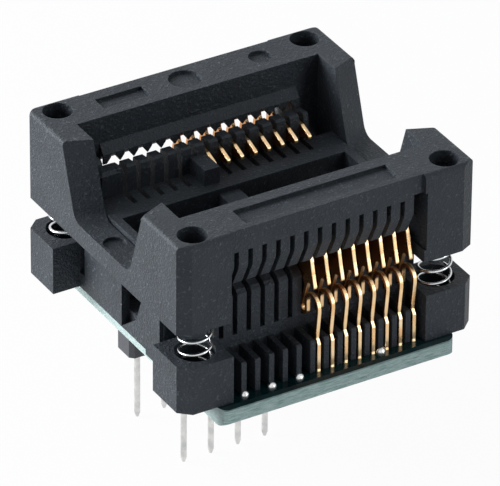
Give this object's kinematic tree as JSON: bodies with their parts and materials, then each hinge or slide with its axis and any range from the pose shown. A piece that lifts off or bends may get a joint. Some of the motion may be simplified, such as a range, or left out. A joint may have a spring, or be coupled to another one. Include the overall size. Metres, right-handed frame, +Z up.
{
  "type": "ic socket",
  "caption": "Open-top test socket for a small-outline IC: sprung cover, folded spring contacts, moulded base, small board and two strips of round pins.",
  "frame": {"origin": "centre of the eight-pin field, on the plane that the undersides of the two pin strips lie in", "axes": "+X along the rows of contacts, towards the end that overhangs the pins; +Y towards the rear row; +Z up, the way an IC leaves the nest"},
  "size_m": [0.0272, 0.027, 0.0265],
  "materials": {
    "moulded_plastic": "fine spark texture",
    "strip_plastic": "satin",
    "board": "solder mask over glass laminate",
    "gold_plate": "gold plate on spring copper",
    "spring_steel": "drawn wire",
    "tinned_brass": "matt tin plate",
    "solder": "bright"
  },
  "bodies": {
    "socket_body": {"base": "moulded_plastic", "circuit_board": "board", "header_strip_front": "strip_plastic", "header_strip_rear": "strip_plastic", "solder_joints": "solder", "spring_fl": "spring_steel", "spring_fr": "spring_steel", "spring_rl": "spring_steel", "spring_rr": "spring_steel", "header_pin_front_1": "tinned_brass", "header_pin_front_2": "tinned_brass", "header_pin_front_3": "tinned_brass", "header_pin_front_4": "tinned_brass", "header_pin_rear_1": "tinned_brass", "header_pin_rear_2": "tinned_brass", "header_pin_rear_3": "tinned_brass", "header_pin_rear_4": "tinned_brass", "contact_front_7": "gold_plate", "contact_front_8": "gold_plate", "contact_front_9": "gold_plate", "contact_front_10": "gold_plate", "contact_front_11": "gold_plate", "contact_front_12": "gold_plate", "contact_front_13": "gold_plate", "contact_front_14": "gold_plate", "contact_rear_7": "gold_plate", "contact_rear_8": "gold_plate", "contact_rear_9": "gold_plate", "contact_rear_10": "gold_plate", "contact_rear_11": "gold_plate", "contact_rear_12": "gold_plate", "contact_rear_13": "gold_plate", "contact_rear_14": "gold_plate"},
    "cover": {"cover": "moulded_plastic"}
  },
  "joints": [
    {"name": "cover_press", "type": "slide", "parent": "socket_body", "child": "cover", "axis": [0, 0, -1], "range_m": [0, 0.0025], "stiffness_N_per_m": 4000, "springref_m": -0.001, "deforming": ["spring_fl", "spring_fr", "spring_rl", "spring_rr", "contact_front_7", "contact_front_8", "contact_front_9", "contact_front_10", "contact_front_11", "contact_front_12", "contact_front_13", "contact_front_14", "contact_rear_7", "contact_rear_8", "contact_rear_9", "contact_rear_10", "contact_rear_11", "contact_rear_12", "contact_rear_13", "contact_rear_14"]}
  ]
}
